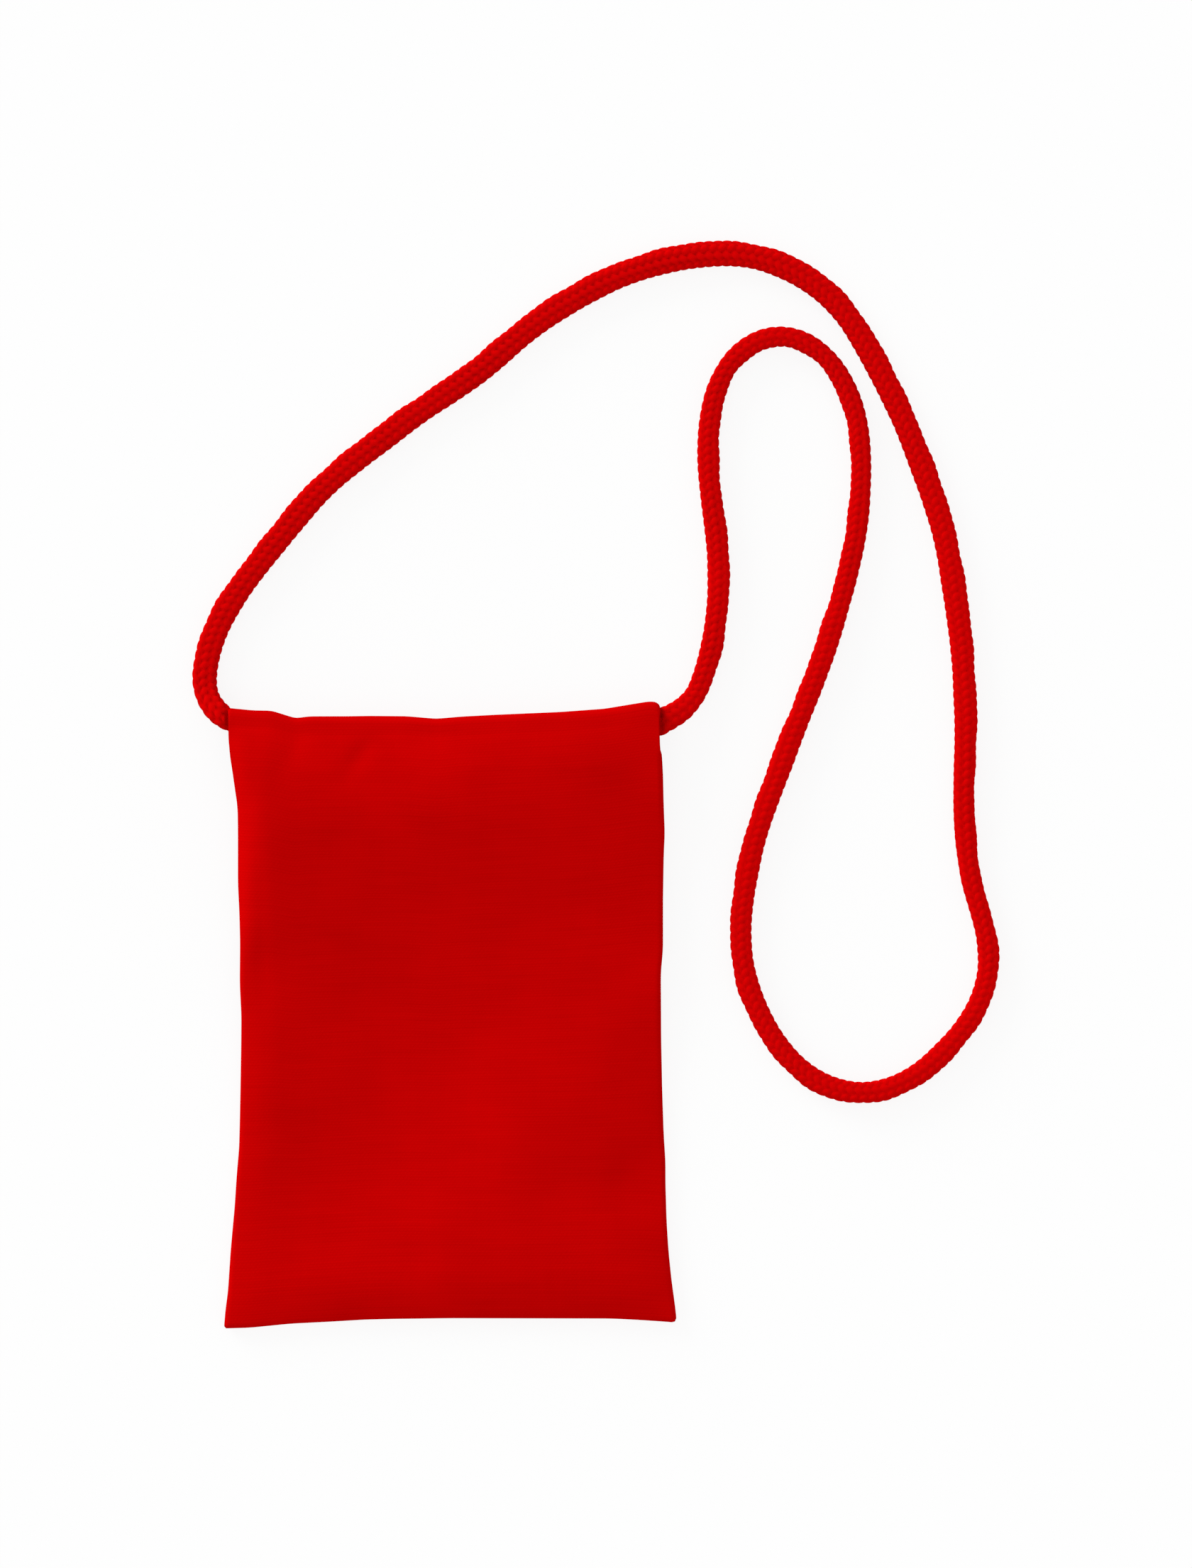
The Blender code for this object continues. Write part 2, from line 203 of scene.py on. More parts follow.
def braid_cord():
    """The braid: a grid wrapped round the cord's line, sheared column by column and puffed
    into floats. Gives the piece and points of its centreline."""
    walked, line = cord_line()
    around = FLOAT_COLUMNS * FLOAT_EDGES
    ring_step = FLOAT_PITCH / FLOAT_RINGS
    column_width = np.pi * CORD_DIAMETER / FLOAT_COLUMNS
    rings = int((walked[-1] - column_width) / ring_step)
    cord = grid_piece("neck_braid", around, rings - 1)

    ring, edge = np.meshgrid(np.arange(rings), np.arange(around + 1), indexing="ij")
    column = (edge // FLOAT_EDGES) % FLOAT_COLUMNS
    leaning = np.where(column % 2, -1.0, 1.0)
    offset = (edge % FLOAT_EDGES) / FLOAT_EDGES - 0.5
    turn = (ring + FLOAT_RINGS // 2 * (column % 2)) / FLOAT_RINGS
    off_crest = np.abs(turn % 1 - 0.5)
    own = 1 - (off_crest / FLOAT_OVAL[0]) ** 2 - (offset / FLOAT_OVAL[1]) ** 2
    from_next = 1 - np.abs(offset)
    beside = 1 - ((0.5 - off_crest) / FLOAT_OVAL[0]) ** 2 - (from_next / FLOAT_OVAL[1]) ** 2
    puff = np.sqrt(np.maximum(0.0, np.maximum(own, beside)))
    tuck = np.where(edge % FLOAT_EDGES == 0, FLOAT_TUCK * np.cos(2 * np.pi * turn), 0.0)

    where = column_width / 2 + ring * ring_step + leaning * offset * column_width * FLOAT_LEAN
    slow_twist = sum(turns * np.sin(where * pace + start) for pace, turns, start in TWIST_SWINGS)
    share = (edge + tuck * FLOAT_EDGES) / around + 0.5 / FLOAT_COLUMNS + slow_twist
    half_width, half_thick = cord_section(where)
    half_width = half_width + UNEVEN_WIDTH[0] * uneven(where, UNEVEN_WIDTH[1])
    sideways, upward = round_section(share, half_width, half_thick)
    sunk = FLOAT_PUFF * (1 - puff) - FLOAT_PROUD
    sideways = sideways * (half_width - sunk)
    upward = upward * (half_thick - sunk)
    middle = at_length(walked, line, where)
    ahead = at_length(walked, line, where + LOOK_AHEAD) - at_length(walked, line, where - LOOK_AHEAD)
    ahead /= np.linalg.norm(ahead, axis=-1, keepdims=True)
    side = np.cross(ahead, np.array([0.0, 0.0, 1.0]))
    side /= np.linalg.norm(side, axis=-1, keepdims=True)
    up = np.cross(side, ahead)
    sideways = sideways + UNEVEN_LINE[0] * uneven(where, UNEVEN_LINE[1])
    place = middle + sideways[..., None] * side + upward[..., None] * up
    for edge_x in CORD_PINCHED_X:
        pinched = np.exp(-(((place[..., 0] - edge_x) / PINCH_REACH) ** 2))
        pinched *= place[..., 1] < PINCHED_BELOW_Y
        place[..., 2] += (middle[..., 2] - place[..., 2]) * PINCH_DEPTH * pinched

    # A slanting gap of painted shade lies on both borders of a column, beyond each end of its floats.
    phase = turn + np.where(column % 2, 0.0, 0.5)
    gaps = 0.0
    for border in (-0.5, 0.5):
        over = (offset - border) * column_width
        for before in (-1.5, -0.5, 0.5):
            behind = (phase + 0.5) % 1 + before
            behind = behind * FLOAT_PITCH + leaning * over * FLOAT_LEAN
            slant = np.radians(GAP_SLANT)
            lengthwise = (behind * np.cos(slant) - over * np.sin(slant)) / GAP_REACH[0]
            widthwise = (behind * np.sin(slant) + over * np.cos(slant)) / GAP_REACH[1]
            gaps = gaps + np.exp(-(lengthwise**2) - widthwise**2)
    # Painted shade of the gaps and of the hollows round the floats, weaker where the gaps close.
    gaps = (gaps * PAINTED_GAP_SHADE + (1 - puff) * PAINTED_HOLLOW_SHADE) * eased(GAP_OPEN, where)

    mesh = cord.data
    mesh.vertices.foreach_set("co", place.reshape(-1).astype(np.float32))
    # The painted shade goes to the cord's material as an attribute.
    gap_shade = mesh.attributes.new("painted_gap_shade", "FLOAT", "POINT")
    gap_shade.data.foreach_set("value", gaps.reshape(-1).astype(np.float32))
    corners = np.empty(len(mesh.loops), np.int32)
    mesh.loops.foreach_get("vertex_index", corners)
    firsts = corners.reshape(-1, 4)
    face_column = (firsts.min(axis=1) % (around + 1)) // FLOAT_EDGES
    corner_edge = firsts % (around + 1) - face_column[:, None] * FLOAT_EDGES
    corner_ring = firsts // (around + 1) + FLOAT_RINGS // 2 * (face_column[:, None] % 2)
    along = (corner_edge / FLOAT_EDGES + MAP_SPREAD * face_column[:, None]) * column_width
    across = corner_ring * ring_step
    flat = np.stack([along, across], axis=-1)
    strand_map = mesh.uv_layers[0]
    strand_map.name = "strand"
    strand_map.data.foreach_set("uv", flat.reshape(-1).astype(np.float32))

    tube = bmesh.new()
    tube.from_mesh(mesh)
    bmesh.ops.remove_doubles(tube, verts=tube.verts, dist=WELD)
    ends = [rim for rim in tube.edges if rim.is_boundary]
    bmesh.ops.holes_fill(tube, edges=ends, sides=0)
    bmesh.ops.recalc_face_normals(tube, faces=tube.faces)
    tube.to_mesh(mesh)
    tube.free()
    mesh.shade_smooth()
    centres = at_length(walked, line, np.arange(0, walked[-1], CENTRE_STEP))
    return cord, centres


class Socket:
    """A socket of a material's nodes, on which Python arithmetic adds Math nodes."""

    def __init__(self, tree, socket=None):
        self.tree = tree
        self.socket = socket

    def node(self, kind, settings=None, sockets=None, output=0):
        """Adds a node of that kind, sets it, then gives its sockets their values or links."""
        made = self.tree.nodes.new(kind)
        for name, value in (settings or {}).items():
            setattr(made, name, value)
        for name, value in (sockets or {}).items():
            if isinstance(value, Socket):
                self.tree.links.new(value.socket, made.inputs[name])
            else:
                made.inputs[name].default_value = value
        return Socket(self.tree, made.outputs[output] if len(made.outputs) else None)

    def other(self, output):
        """Another output of the node that this one comes from."""
        return Socket(self.tree, self.socket.node.outputs[output])

    def maths(self, operation, *others):
        return self.node("ShaderNodeMath", {"operation": operation}, dict(enumerate((self, *others))))

    def __add__(self, other):
        return self.maths("ADD", other)

    def __mul__(self, other):
        return self.maths("MULTIPLY", other)

    def __sub__(self, other):
        return self.maths("SUBTRACT", other)

    def __rsub__(self, other):
        return self.node("ShaderNodeMath", {"operation": "SUBTRACT"}, {0: other, 1: self})

    def noise(self, scale, detail=2.0, stretch=(1, 1, 1)):
        """Cloudy values of about 0.3 to 0.7 over these coordinates."""
        spread = self.node("ShaderNodeMapping", None, {"Vector": self, "Scale": stretch})
        return self.node(
            "ShaderNodeTexNoise", None, {"Vector": spread, "Scale": scale, "Detail": detail}
        )

    def mix(self, first, second):
        """The first colour where this is 0, the second where it is 1. A Mix node has sockets
        for several kinds of value: numbers 6 and 7 and output 2 are those for colours."""
        return self.node(
            "ShaderNodeMix", {"data_type": "RGBA"}, {"Factor": self, 6: first, 7: second}, output=2
        )


def new_material(name, roughness, specular):
    """A material, a Socket to start its nodes from, and its shader."""
    material = bpy.data.materials.new(name)
    material.use_nodes = True
    tree = material.node_tree
    shader = tree.nodes["Principled BSDF"]
    shader.inputs["Roughness"].default_value = roughness
    shader.inputs["Specular IOR Level"].default_value = specular
    return material, Socket(tree), shader


def plug(shader, name, value):
    """Leads a Socket into a socket of the shader."""
    value.tree.links.new(value.socket, shader.inputs[name])


def raised(height, strength, distance):
    """A Bump node over that height."""
    sockets = {"Height": height, "Strength": strength, "Distance": distance}
    return height.node("ShaderNodeBump", None, sockets)


def cord_material():
    """Soft dull strands, with painted shade in the gaps and the hollows round the floats, and fine
    filaments along each float.
    """
    material, start, shader = new_material("red_braid", roughness=0.85, specular=0.005)
    gap_shade = start.node("ShaderNodeAttribute", {"attribute_name": "painted_gap_shade"}, output="Fac")
    strand = start.node("ShaderNodeUVMap", {"uv_map": "strand"})
    body = start.node("ShaderNodeTexCoord", output="Object")
    filaments = strand.noise(scale=1, detail=3.0, stretch=(500, 5200, 1))
    mottle = body.noise(scale=260, detail=2.0)
    looseness = body.noise(scale=45, detail=1.0)
    # Painted shade from the braid's attribute, stronger where the cloudy looseness is high.
    shade = gap_shade * (looseness * GAP_SHADE[0] + GAP_SHADE[1])
    shade = shade + (filaments - 0.5) * FILAMENT_SHADE + (mottle - 0.5) * MOTTLE_SHADE - CORD_LIFT
    plug(shader, "Base Color", shade.mix(CORD_RED, CORD_SHADED_RED))
    plug(shader, "Normal", raised(filaments, strength=0.6, distance=0.0001))
    return material


neck_braid, cord_centres = braid_cord()
neck_braid.data.materials.clear()
neck_braid.data.materials.append(cord_material())
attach(neck_braid, "root")
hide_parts("neck_cord")


# Pouch: one strip of red plain-weave canvas, folded at the bottom and at the top. Its front and
# back are sewn together up both sides, inside out, so that the turned seam allowances lie as a
# soft roll along the edges. The end that goes over the top is the flap.
CANVAS = 0.0008
# Its outline from above: places of the sides at these heights, of the folds at these places across.
LEFT_EDGE_MM = [
    (-86.0, -62.2), (-80.0, -61.7), (-76.0, -61.1), (-64.0, -60.3), (-52.0, -59.2), (-44.0, -58.7),
    (-36.0, -58.0), (-28.0, -57.8), (-8.0, -57.4), (0.0, -57.3), (9.0, -57.7), (20.0, -57.6),
    (28.0, -57.8), (36.0, -58.2), (50.0, -58.2), (57.0, -58.3), (66.0, -59.6), (76.0, -60.8),
    (86.0, -61.2),
]
RIGHT_EDGE_MM = [
    (-86.0, 62.0), (-80.0, 61.4), (-72.0, 60.3), (-64.0, 59.5), (-56.0, 59.0), (-46.0, 58.7),
    (-40.0, 58.7), (-32.0, 58.2), (-20.0, 57.8), (-6.0, 57.5), (12.0, 57.4), (18.0, 58.0),
    (32.0, 58.0), (44.0, 58.2), (50.0, 58.5), (58.0, 58.2), (67.0, 58.0), (73.0, 57.6), (86.0, 57.2),
]
TOP_EDGE_MM = [
    (-62.0, 84.1), (-54.0, 83.3), (-49.0, 83.2), (-42.5, 81.1), (-38.5, 81.6), (-28.0, 81.6),
    (-22.0, 81.7), (-12.0, 81.6), (-4.0, 80.9), (3.0, 81.5), (12.0, 82.0), (30.0, 82.8),
    (42.0, 83.7), (52.0, 85.4), (54.5, 85.8), (58.0, 85.3),
]
BOTTOM_EDGE_MM = [
    (-62.0, -85.2), (-55.0, -85.0), (-44.0, -83.9), (-32.0, -83.3), (-24.0, -82.8), (-16.0, -82.6),
    (0.0, -82.4), (44.0, -82.5), (52.0, -82.9), (62.0, -83.6),
]
TOP_EDGE_REACH = 0.001       # over which the top edge is averaged, so that its dent stays sharp
BAG_HALF_WIDTH = 0.0580
BAG_TOP = 0.0818
BAG_HEIGHT = 0.1646
SEAM_LOW = 0.0015            # height of the side seams near the bottom, where they lie on the table
SEAM_HIGH = 0.0044           # and near the top, where they lie on the flap
SEAM_ROUND = 0.0011          # radius of the turned edge
EDGE_SQUARE = 2.6            # how square it is: 2 would be round
FOLD_ROUND = 0.0040          # radius of the top fold, over the ends of the cord
FOLD_SQUARE = 4.0            # how square its upper half is
CORNERS = ((0.0004, 0.0014), (0.0003, 0.0008))   # radii at the top left and right, then below
FLAP_LENGTH = 0.0680
FLAP_INSET = 0.0020          # its sides lie this far inside the bag's
FLAP_CORNER = 0.0120
MOUTH_DROP = 0.0180          # from the top fold down to the front's open edge
SIDE_OPENING = 0.0105        # the sides are wide open over this length below the top fold
RAMP = 0.040                 # length over which the sides rise from the table on to the flap
FRONT_GAP = 0.0003           # between the front and the flap that it lies on
FLAP_STEP = (0.006, 0.005)   # the front steps up this far below the flap's end, over this length
SEAM_TO_FLAT = 0.012         # the front comes down from a side seam over this width
FOLD_TO_FLAT = 0.004         # and from the bottom fold
LEFT_ROLL = (0.0104, 0.0058)     # widths of the rounded edge of the back: low down, and high up
RIGHT_ROLL = (0.0175, 0.0129)
ROLL_CHANGE = (-0.008, 0.030)    # where they change, and over what length
BOTTOM_ROLL = 0.0129
TOP_ROLL = 0.0120
TAPE_MIDDLE_Y = 0.0310
TAPE_HALF = (0.0250, 0.0100)
TAPE_MARGIN = 0.007          # the front stays raised this far round the closure
TAPE_SLOPE = 0.012           # and comes down over this length
FRONT_OVER_TAPE = 0.0045
# Sewn rows draw the flap in. Each runs round a rectangle: its middle, half its size, and the
# radius of its corners.
HEM_ROW = ((0.0, 0.0688), (0.0510, 0.0500), 0.0070)
TAPE_ROW = ((0.0, 0.0310), (0.0235, 0.0085), 0.0010)
HEM_ROW_TOP = 0.0700         # the hem's row stops here, below the top fold
ROW_END = 0.004              # length over which it dies out there
ROW_DIP = 0.0002
ROW_REACH = 0.0009
CLOTH_STEP = 0.00105
CLOTH_COLUMNS = 112
PANEL_LENGTH = 0.145         # of the front, from the bottom fold to its open edge
SIDE_STEPS = (0.0, 0.00035, 0.0008, 0.0013, 0.0020)      # columns of vertices by the sides
FOLD_STEPS = (0.0, 0.0004, 0.0008, 0.0013, 0.0020)       # and rows by the bottom fold
EVEN_FROM = 0.0028           # from here on they are evenly spaced
CLOTH_WELD = 1e-5
CANVAS_RED = (0.53, 0.0004, 0.0006, 1)
CANVAS_DEEP_RED = (0.43, 0.0002, 0.0003, 1)
WARP_PITCH = 0.00052
WEFT_PITCH = 0.00074
WANDER = 0.0003              # how far the threads wander off their straight lines
SLUB_SHARES = (0.25, 0.75)   # of the warp's and of the weft's thick places
# How far each of these moves the canvas between its red and its deep red.
# Between the weft's rows and on the warp's low dots this is painted shade, and on its raised dots
# painted light, following the relief.
BETWEEN_ROWS_SHADE = 0.22
DOT_SHADE = 0.10
SLUB_SHADE = 1.0
FADE_SHADE = 0.85
CANVAS_SHADE = 0.14          # all over
ROW_RELIEF = 0.6             # the weft's rows and the warp's dots in the canvas's relief
DOT_RELIEF = 0.3


def corner_cut(across, radii):
    """How far the rounded corners move the top or the bottom edge inwards."""
    radius = np.where(across < 0, *radii)
    into = 1 - np.clip((1 - np.abs(across)) * BAG_HALF_WIDTH / radius, 0.0, 1.0)
    return radius * (1 - np.sqrt(1 - into**2))


def between_sides(across, y, inset=0.0):
    """Place across the bag at that height, or across a narrower piece within its sides."""
    left = eased(LEFT_EDGE_MM, y) + CANVAS / 2 + inset
    right = eased(RIGHT_EDGE_MM, y) - CANVAS / 2 - inset
    return left + (right - left) * (across + 1) / 2


def plan_point(across, up):
    """Place seen from above: across from -1 to 1, and up from 0 to 1. The outline's height
    depends on x and its width on y, so they are worked out in turn."""
    x = across * BAG_HALF_WIDTH
    for _ in range(2):
        low = eased(BOTTOM_EDGE_MM, x) + corner_cut(across, CORNERS[1])
        high = eased(TOP_EDGE_MM, x, TOP_EDGE_REACH) - corner_cut(across, CORNERS[0])
        y = low + (high - low) * up
        x = between_sides(across, y)
    return x, y


def quarter_round(distance, radius):
    """0 at the edge and 1 from the radius on, rising along a rounded square's corner."""
    outward = 1 - np.clip(distance / radius, 0.0, 1.0)
    return (1 - outward**EDGE_SQUARE) ** (1 / EDGE_SQUARE)


def seam_height(y):
    """Height of the side seams, which lie on the table and then on the flap."""
    flap_end = BAG_TOP - FLAP_LENGTH
    return SEAM_LOW + (SEAM_HIGH - SEAM_LOW) * smooth((y - flap_end + RAMP) / RAMP)


def front_point(across, up):
    """The front lies on the table, further up on the flap, and over the closure's tapes."""
    x, y = plan_point(across, up)
    from_side = (1 - np.abs(across)) * BAG_HALF_WIDTH
    closed = quarter_round(from_side, SEAM_ROUND) * quarter_round(up * BAG_HEIGHT, SEAM_ROUND)
    edge = seam_height(y) - SEAM_ROUND * closed
    past_flap_end = y - BAG_TOP + FLAP_LENGTH
    on_flap = CANVAS * 1.5 + FRONT_GAP
    lying = CANVAS / 2 + (on_flap - CANVAS / 2) * smooth((past_flap_end + FLAP_STEP[0]) / FLAP_STEP[1])
    inner = smooth((from_side - SEAM_ROUND) / SEAM_TO_FLAT)
    inner = inner * smooth((up * BAG_HEIGHT - SEAM_ROUND) / FOLD_TO_FLAT)
    z = edge + (lying - edge) * inner
    past_x = np.maximum(0.0, np.abs(x) - TAPE_HALF[0] - TAPE_MARGIN)
    past_y = np.maximum(0.0, np.abs(y - TAPE_MIDDLE_Y) - TAPE_HALF[1] - TAPE_MARGIN)
    return x, y, z + (FRONT_OVER_TAPE - z) * (1 - smooth(np.hypot(past_x, past_y) / TAPE_SLOPE))


def swell(x, y, middle_mm, reach_mm, degrees=0.0):
    """A soft mound of height 1: middle, then reach along and across a line at that angle."""
    turned = np.radians(degrees)
    from_x = x * 1000 - middle_mm[0]
    from_y = y * 1000 - middle_mm[1]
    along = from_x * np.cos(turned) + from_y * np.sin(turned)
    off = from_y * np.cos(turned) - from_x * np.sin(turned)
    return np.exp(-((along / reach_mm[0]) ** 2) - (off / reach_mm[1]) ** 2)


# Heights of the back above the table in millimetres, at these places across it and up it.
BACK_ACROSS_MM = (-52, -35, -17, 0, 17, 35, 52)
BACK_HEIGHTS_MM = [
    (72, (12.4, 10.4, 9.6, 11.3, 10.4, 9.8, 8.7)),
    (57, (13.0, 12.7, 11.9, 12.1, 11.1, 9.5, 6.6)),
    (42, (12.3, 10.5, 10.2, 9.8, 9.4, 8.3, 7.5)),
    (28, (9.5, 8.7, 7.5, 6.6, 6.8, 5.6, 6.0)),
    (13, (5.6, 6.1, 5.3, 5.8, 5.6, 5.6, 5.1)),
    (-2, (7.0, 4.1, 3.8, 3.7, 4.8, 5.2, 4.8)),
    (-17, (5.5, 5.1, 3.6, 3.3, 5.1, 6.4, 4.0)),
    (-31, (4.0, 3.2, 3.3, 4.0, 6.2, 5.4, 5.6)),
    (-46, (3.7, 1.6, 3.1, 5.1, 6.3, 4.1, 1.6)),
    (-61, (3.6, 3.4, 4.0, 5.9, 6.1, 6.1, 4.2)),
    (-76, (3.7, 5.6, 4.9, 5.4, 5.2, 5.6, 6.2)),
]
BACK_BLEND_MM = (13.0, 11.1)     # how far each height reaches across and up

# Folds and dents of the back: height in mm, middle, reach along and across, angle.
BACK_FOLDS = [
    (-0.8, (-23.5, 73.4), (8.0, 2.8), 57.0),
    (-0.8, (-53.5, 44.5), (33.4, 2.6), 93.0),
    (-0.4, (50.5, -41.0), (5.0, 5.0), 0.0),
    (-0.3, (-42.0, 75.0), (9.0, 2.6), 62.0),
]


def lofted(x, y):
    """Height of a smooth surface through the back's table of heights."""
    up_mm = np.array([row[0] for row in BACK_HEIGHTS_MM])
    heights = np.array([row[1] for row in BACK_HEIGHTS_MM])
    near_x = np.exp(-(((x[:, None] * 1000 - BACK_ACROSS_MM) / BACK_BLEND_MM[0]) ** 2))
    near_y = np.exp(-(((y[:, None] * 1000 - up_mm) / BACK_BLEND_MM[1]) ** 2))
    near_x /= near_x.sum(axis=1, keepdims=True)
    near_y /= near_y.sum(axis=1, keepdims=True)
    smoothed = ((near_y @ heights) * near_x).sum(axis=1)
    folds = sum(fold[0] * swell(x, y, *fold[1:]) for fold in BACK_FOLDS)
    return (smoothed + folds) / 1000


def bulging(value):
    """0 at 0 and 1 from 1 on, rising steeply first and then ever more gently."""
    return 1 - (1 - np.clip(value, 0.0, 1.0)) ** 2


def back_point(across, up):
    """The back: its rounded rim, which opens into the top fold's ends, and its soft swells."""
    x, y = plan_point(across, up)
    from_side = (1 - np.abs(across)) * BAG_HALF_WIDTH
    from_bottom = up * BAG_HEIGHT
    fold_start = 1 - FOLD_ROUND / BAG_HEIGHT
    mouth = 1 - MOUTH_DROP / BAG_HEIGHT
    open_from = 1 - SIDE_OPENING / BAG_HEIGHT
    rise = smooth((up - mouth + RAMP / 2 / BAG_HEIGHT) * 2 * BAG_HEIGHT / RAMP)
    height = SEAM_ROUND + (FOLD_ROUND - SEAM_ROUND) * rise
    edge = quarter_round(from_side, SEAM_ROUND) * quarter_round(from_bottom, SEAM_ROUND)
    edge = edge + (1 - edge) * smooth((up - mouth) / (open_from - mouth))
    rim = seam_height(y) + height * edge
    from_top = np.maximum(0.0, (fold_start - up) * BAG_HEIGHT)
    low_roll, high_roll = np.where(across < 0, *np.array([LEFT_ROLL, RIGHT_ROLL])[:, :, None])
    roll = low_roll + (high_roll - low_roll) * smooth((y - ROLL_CHANGE[0]) / ROLL_CHANGE[1])
    inner = bulging(from_side / roll) * bulging(from_bottom / BOTTOM_ROLL)
    inner = inner * bulging(from_top / TOP_ROLL)
    return x, y, rim + (lofted(x, y) - rim) * inner


def fold_point(across, turn):
    """The top fold, from the back at turn 0 over to the flap at turn 1."""
    x, y = plan_point(across, 1 - FOLD_ROUND / BAG_HEIGHT)
    angle = np.pi * (0.5 - turn)
    square = FOLD_SQUARE if turn < 0.5 else 2.0
    out = FOLD_ROUND * abs(np.cos(angle)) ** (2 / square)
    rise = FOLD_ROUND * abs(np.sin(angle)) ** (2 / square) * np.sign(np.sin(angle))
    return x, y + out, SEAM_HIGH + rise + 0 * x


def off_row(x, y, row):
    """Distance from a sewn row."""
    middle, half, corner = row
    from_x = np.abs(x - middle[0]) - half[0] + corner
    from_y = np.abs(y - middle[1]) - half[1] + corner
    outside = np.hypot(np.maximum(from_x, 0.0), np.maximum(from_y, 0.0))
    return np.abs(outside + np.minimum(np.maximum(from_x, from_y), 0.0) - corner)


def flap_point(across, down):
    """The flap, which lies on the table, from the top fold to its end with rounded corners."""
    x, fold_y = plan_point(across, 1 - FOLD_ROUND / BAG_HEIGHT)
    end_half = BAG_HALF_WIDTH - FLAP_INSET
    into_corner = np.clip(np.abs(across) * end_half - (end_half - FLAP_CORNER), 0.0, FLAP_CORNER)
    end_y = BAG_TOP - FLAP_LENGTH + FLAP_CORNER - np.sqrt(FLAP_CORNER**2 - into_corner**2)
    y = fold_y + (end_y - fold_y) * down
    x = between_sides(across, y, FLAP_INSET * smooth((fold_y - y) / FLAP_CORNER))
    at_hem = np.exp(-((off_row(x, y, HEM_ROW) / ROW_REACH) ** 2))
    at_hem = at_hem * smooth((HEM_ROW_TOP - y) / ROW_END + 0.5)
    at_tape = np.exp(-((off_row(x, y, TAPE_ROW) / ROW_REACH) ** 2))
    return x, y, CANVAS / 2 + ROW_DIP * np.maximum(at_hem, at_tape)


def cloth_columns():
    """Places across the strip, close together at the turned edges."""
    near_edge = np.array(SIDE_STEPS) / BAG_HALF_WIDTH
    even = 1 - EVEN_FROM / BAG_HALF_WIDTH
    middle = np.linspace(-even, even, CLOTH_COLUMNS + 1 - 2 * len(SIDE_STEPS))
    return np.concatenate([-1 + near_edge, middle, 1 - near_edge[::-1]])


def cloth_rows():
    """One entry for each row of the strip: the surface it is on, and its place there."""
    mouth = 1 - MOUTH_DROP / BAG_HEIGHT
    fold_start = 1 - FOLD_ROUND / BAG_HEIGHT
    near_edge = np.array(FOLD_STEPS) / BAG_HEIGHT
    even = np.linspace(EVEN_FROM / BAG_HEIGHT, mouth, round(PANEL_LENGTH / CLOTH_STEP))
    panel = np.concatenate([near_edge, even])
    opening = np.linspace(mouth, fold_start, round((MOUTH_DROP - FOLD_ROUND) / CLOTH_STEP))[1:]
    turns = np.linspace(0, 1, round(np.pi * FOLD_ROUND / CLOTH_STEP))[1:-1]
    flap = np.linspace(0, 1, round(FLAP_LENGTH / CLOTH_STEP))
    rows = [(front_point, up) for up in panel[:0:-1]]
    rows += [(back_point, up) for up in np.concatenate([panel, opening])]
    rows += [(fold_point, turn) for turn in turns]
    return rows + [(flap_point, down) for down in flap]


def fold_pouch():
    """The strip is folded row by row, joined along its sides, and given its thickness."""
    columns = cloth_columns()
    rows = cloth_rows()
    pouch = grid_piece("canvas_pouch", len(columns) - 1, len(rows) - 1)
    mesh = pouch.data
    place = np.array([np.stack(surface(columns, at), axis=-1) for surface, at in rows])
    mesh.vertices.foreach_set("co", place.reshape(-1).astype(np.float32))
    steps = np.linalg.norm(np.diff(place[:, len(columns) // 2], axis=0), axis=-1)
    length = np.concatenate([[0.0], np.cumsum(steps)])
    corners = np.empty(len(mesh.loops), np.int32)
    mesh.loops.foreach_get("vertex_index", corners)
    sideways = columns[corners % len(columns)] * BAG_HALF_WIDTH
    flat = np.stack([sideways, length[corners // len(columns)]], axis=-1)
    weave_map = mesh.uv_layers[0]
    weave_map.name = "weave"
    weave_map.data.foreach_set("uv", flat.reshape(-1).astype(np.float32))

    strip = bmesh.new()
    strip.from_mesh(mesh)
    bmesh.ops.remove_doubles(strip, verts=strip.verts, dist=CLOTH_WELD)
    bmesh.ops.recalc_face_normals(strip, faces=strip.faces)
    strip.to_mesh(mesh)
    strip.free()
    wall = pouch.modifiers.new("canvas_thickness", "SOLIDIFY")
    wall.thickness = CANVAS
    wall.offset = 0.0
    wall.use_even_offset = True
    bpy.context.view_layer.objects.active = pouch
    bpy.ops.object.modifier_apply(modifier="canvas_thickness")
    mesh.shade_smooth()
    return pouch


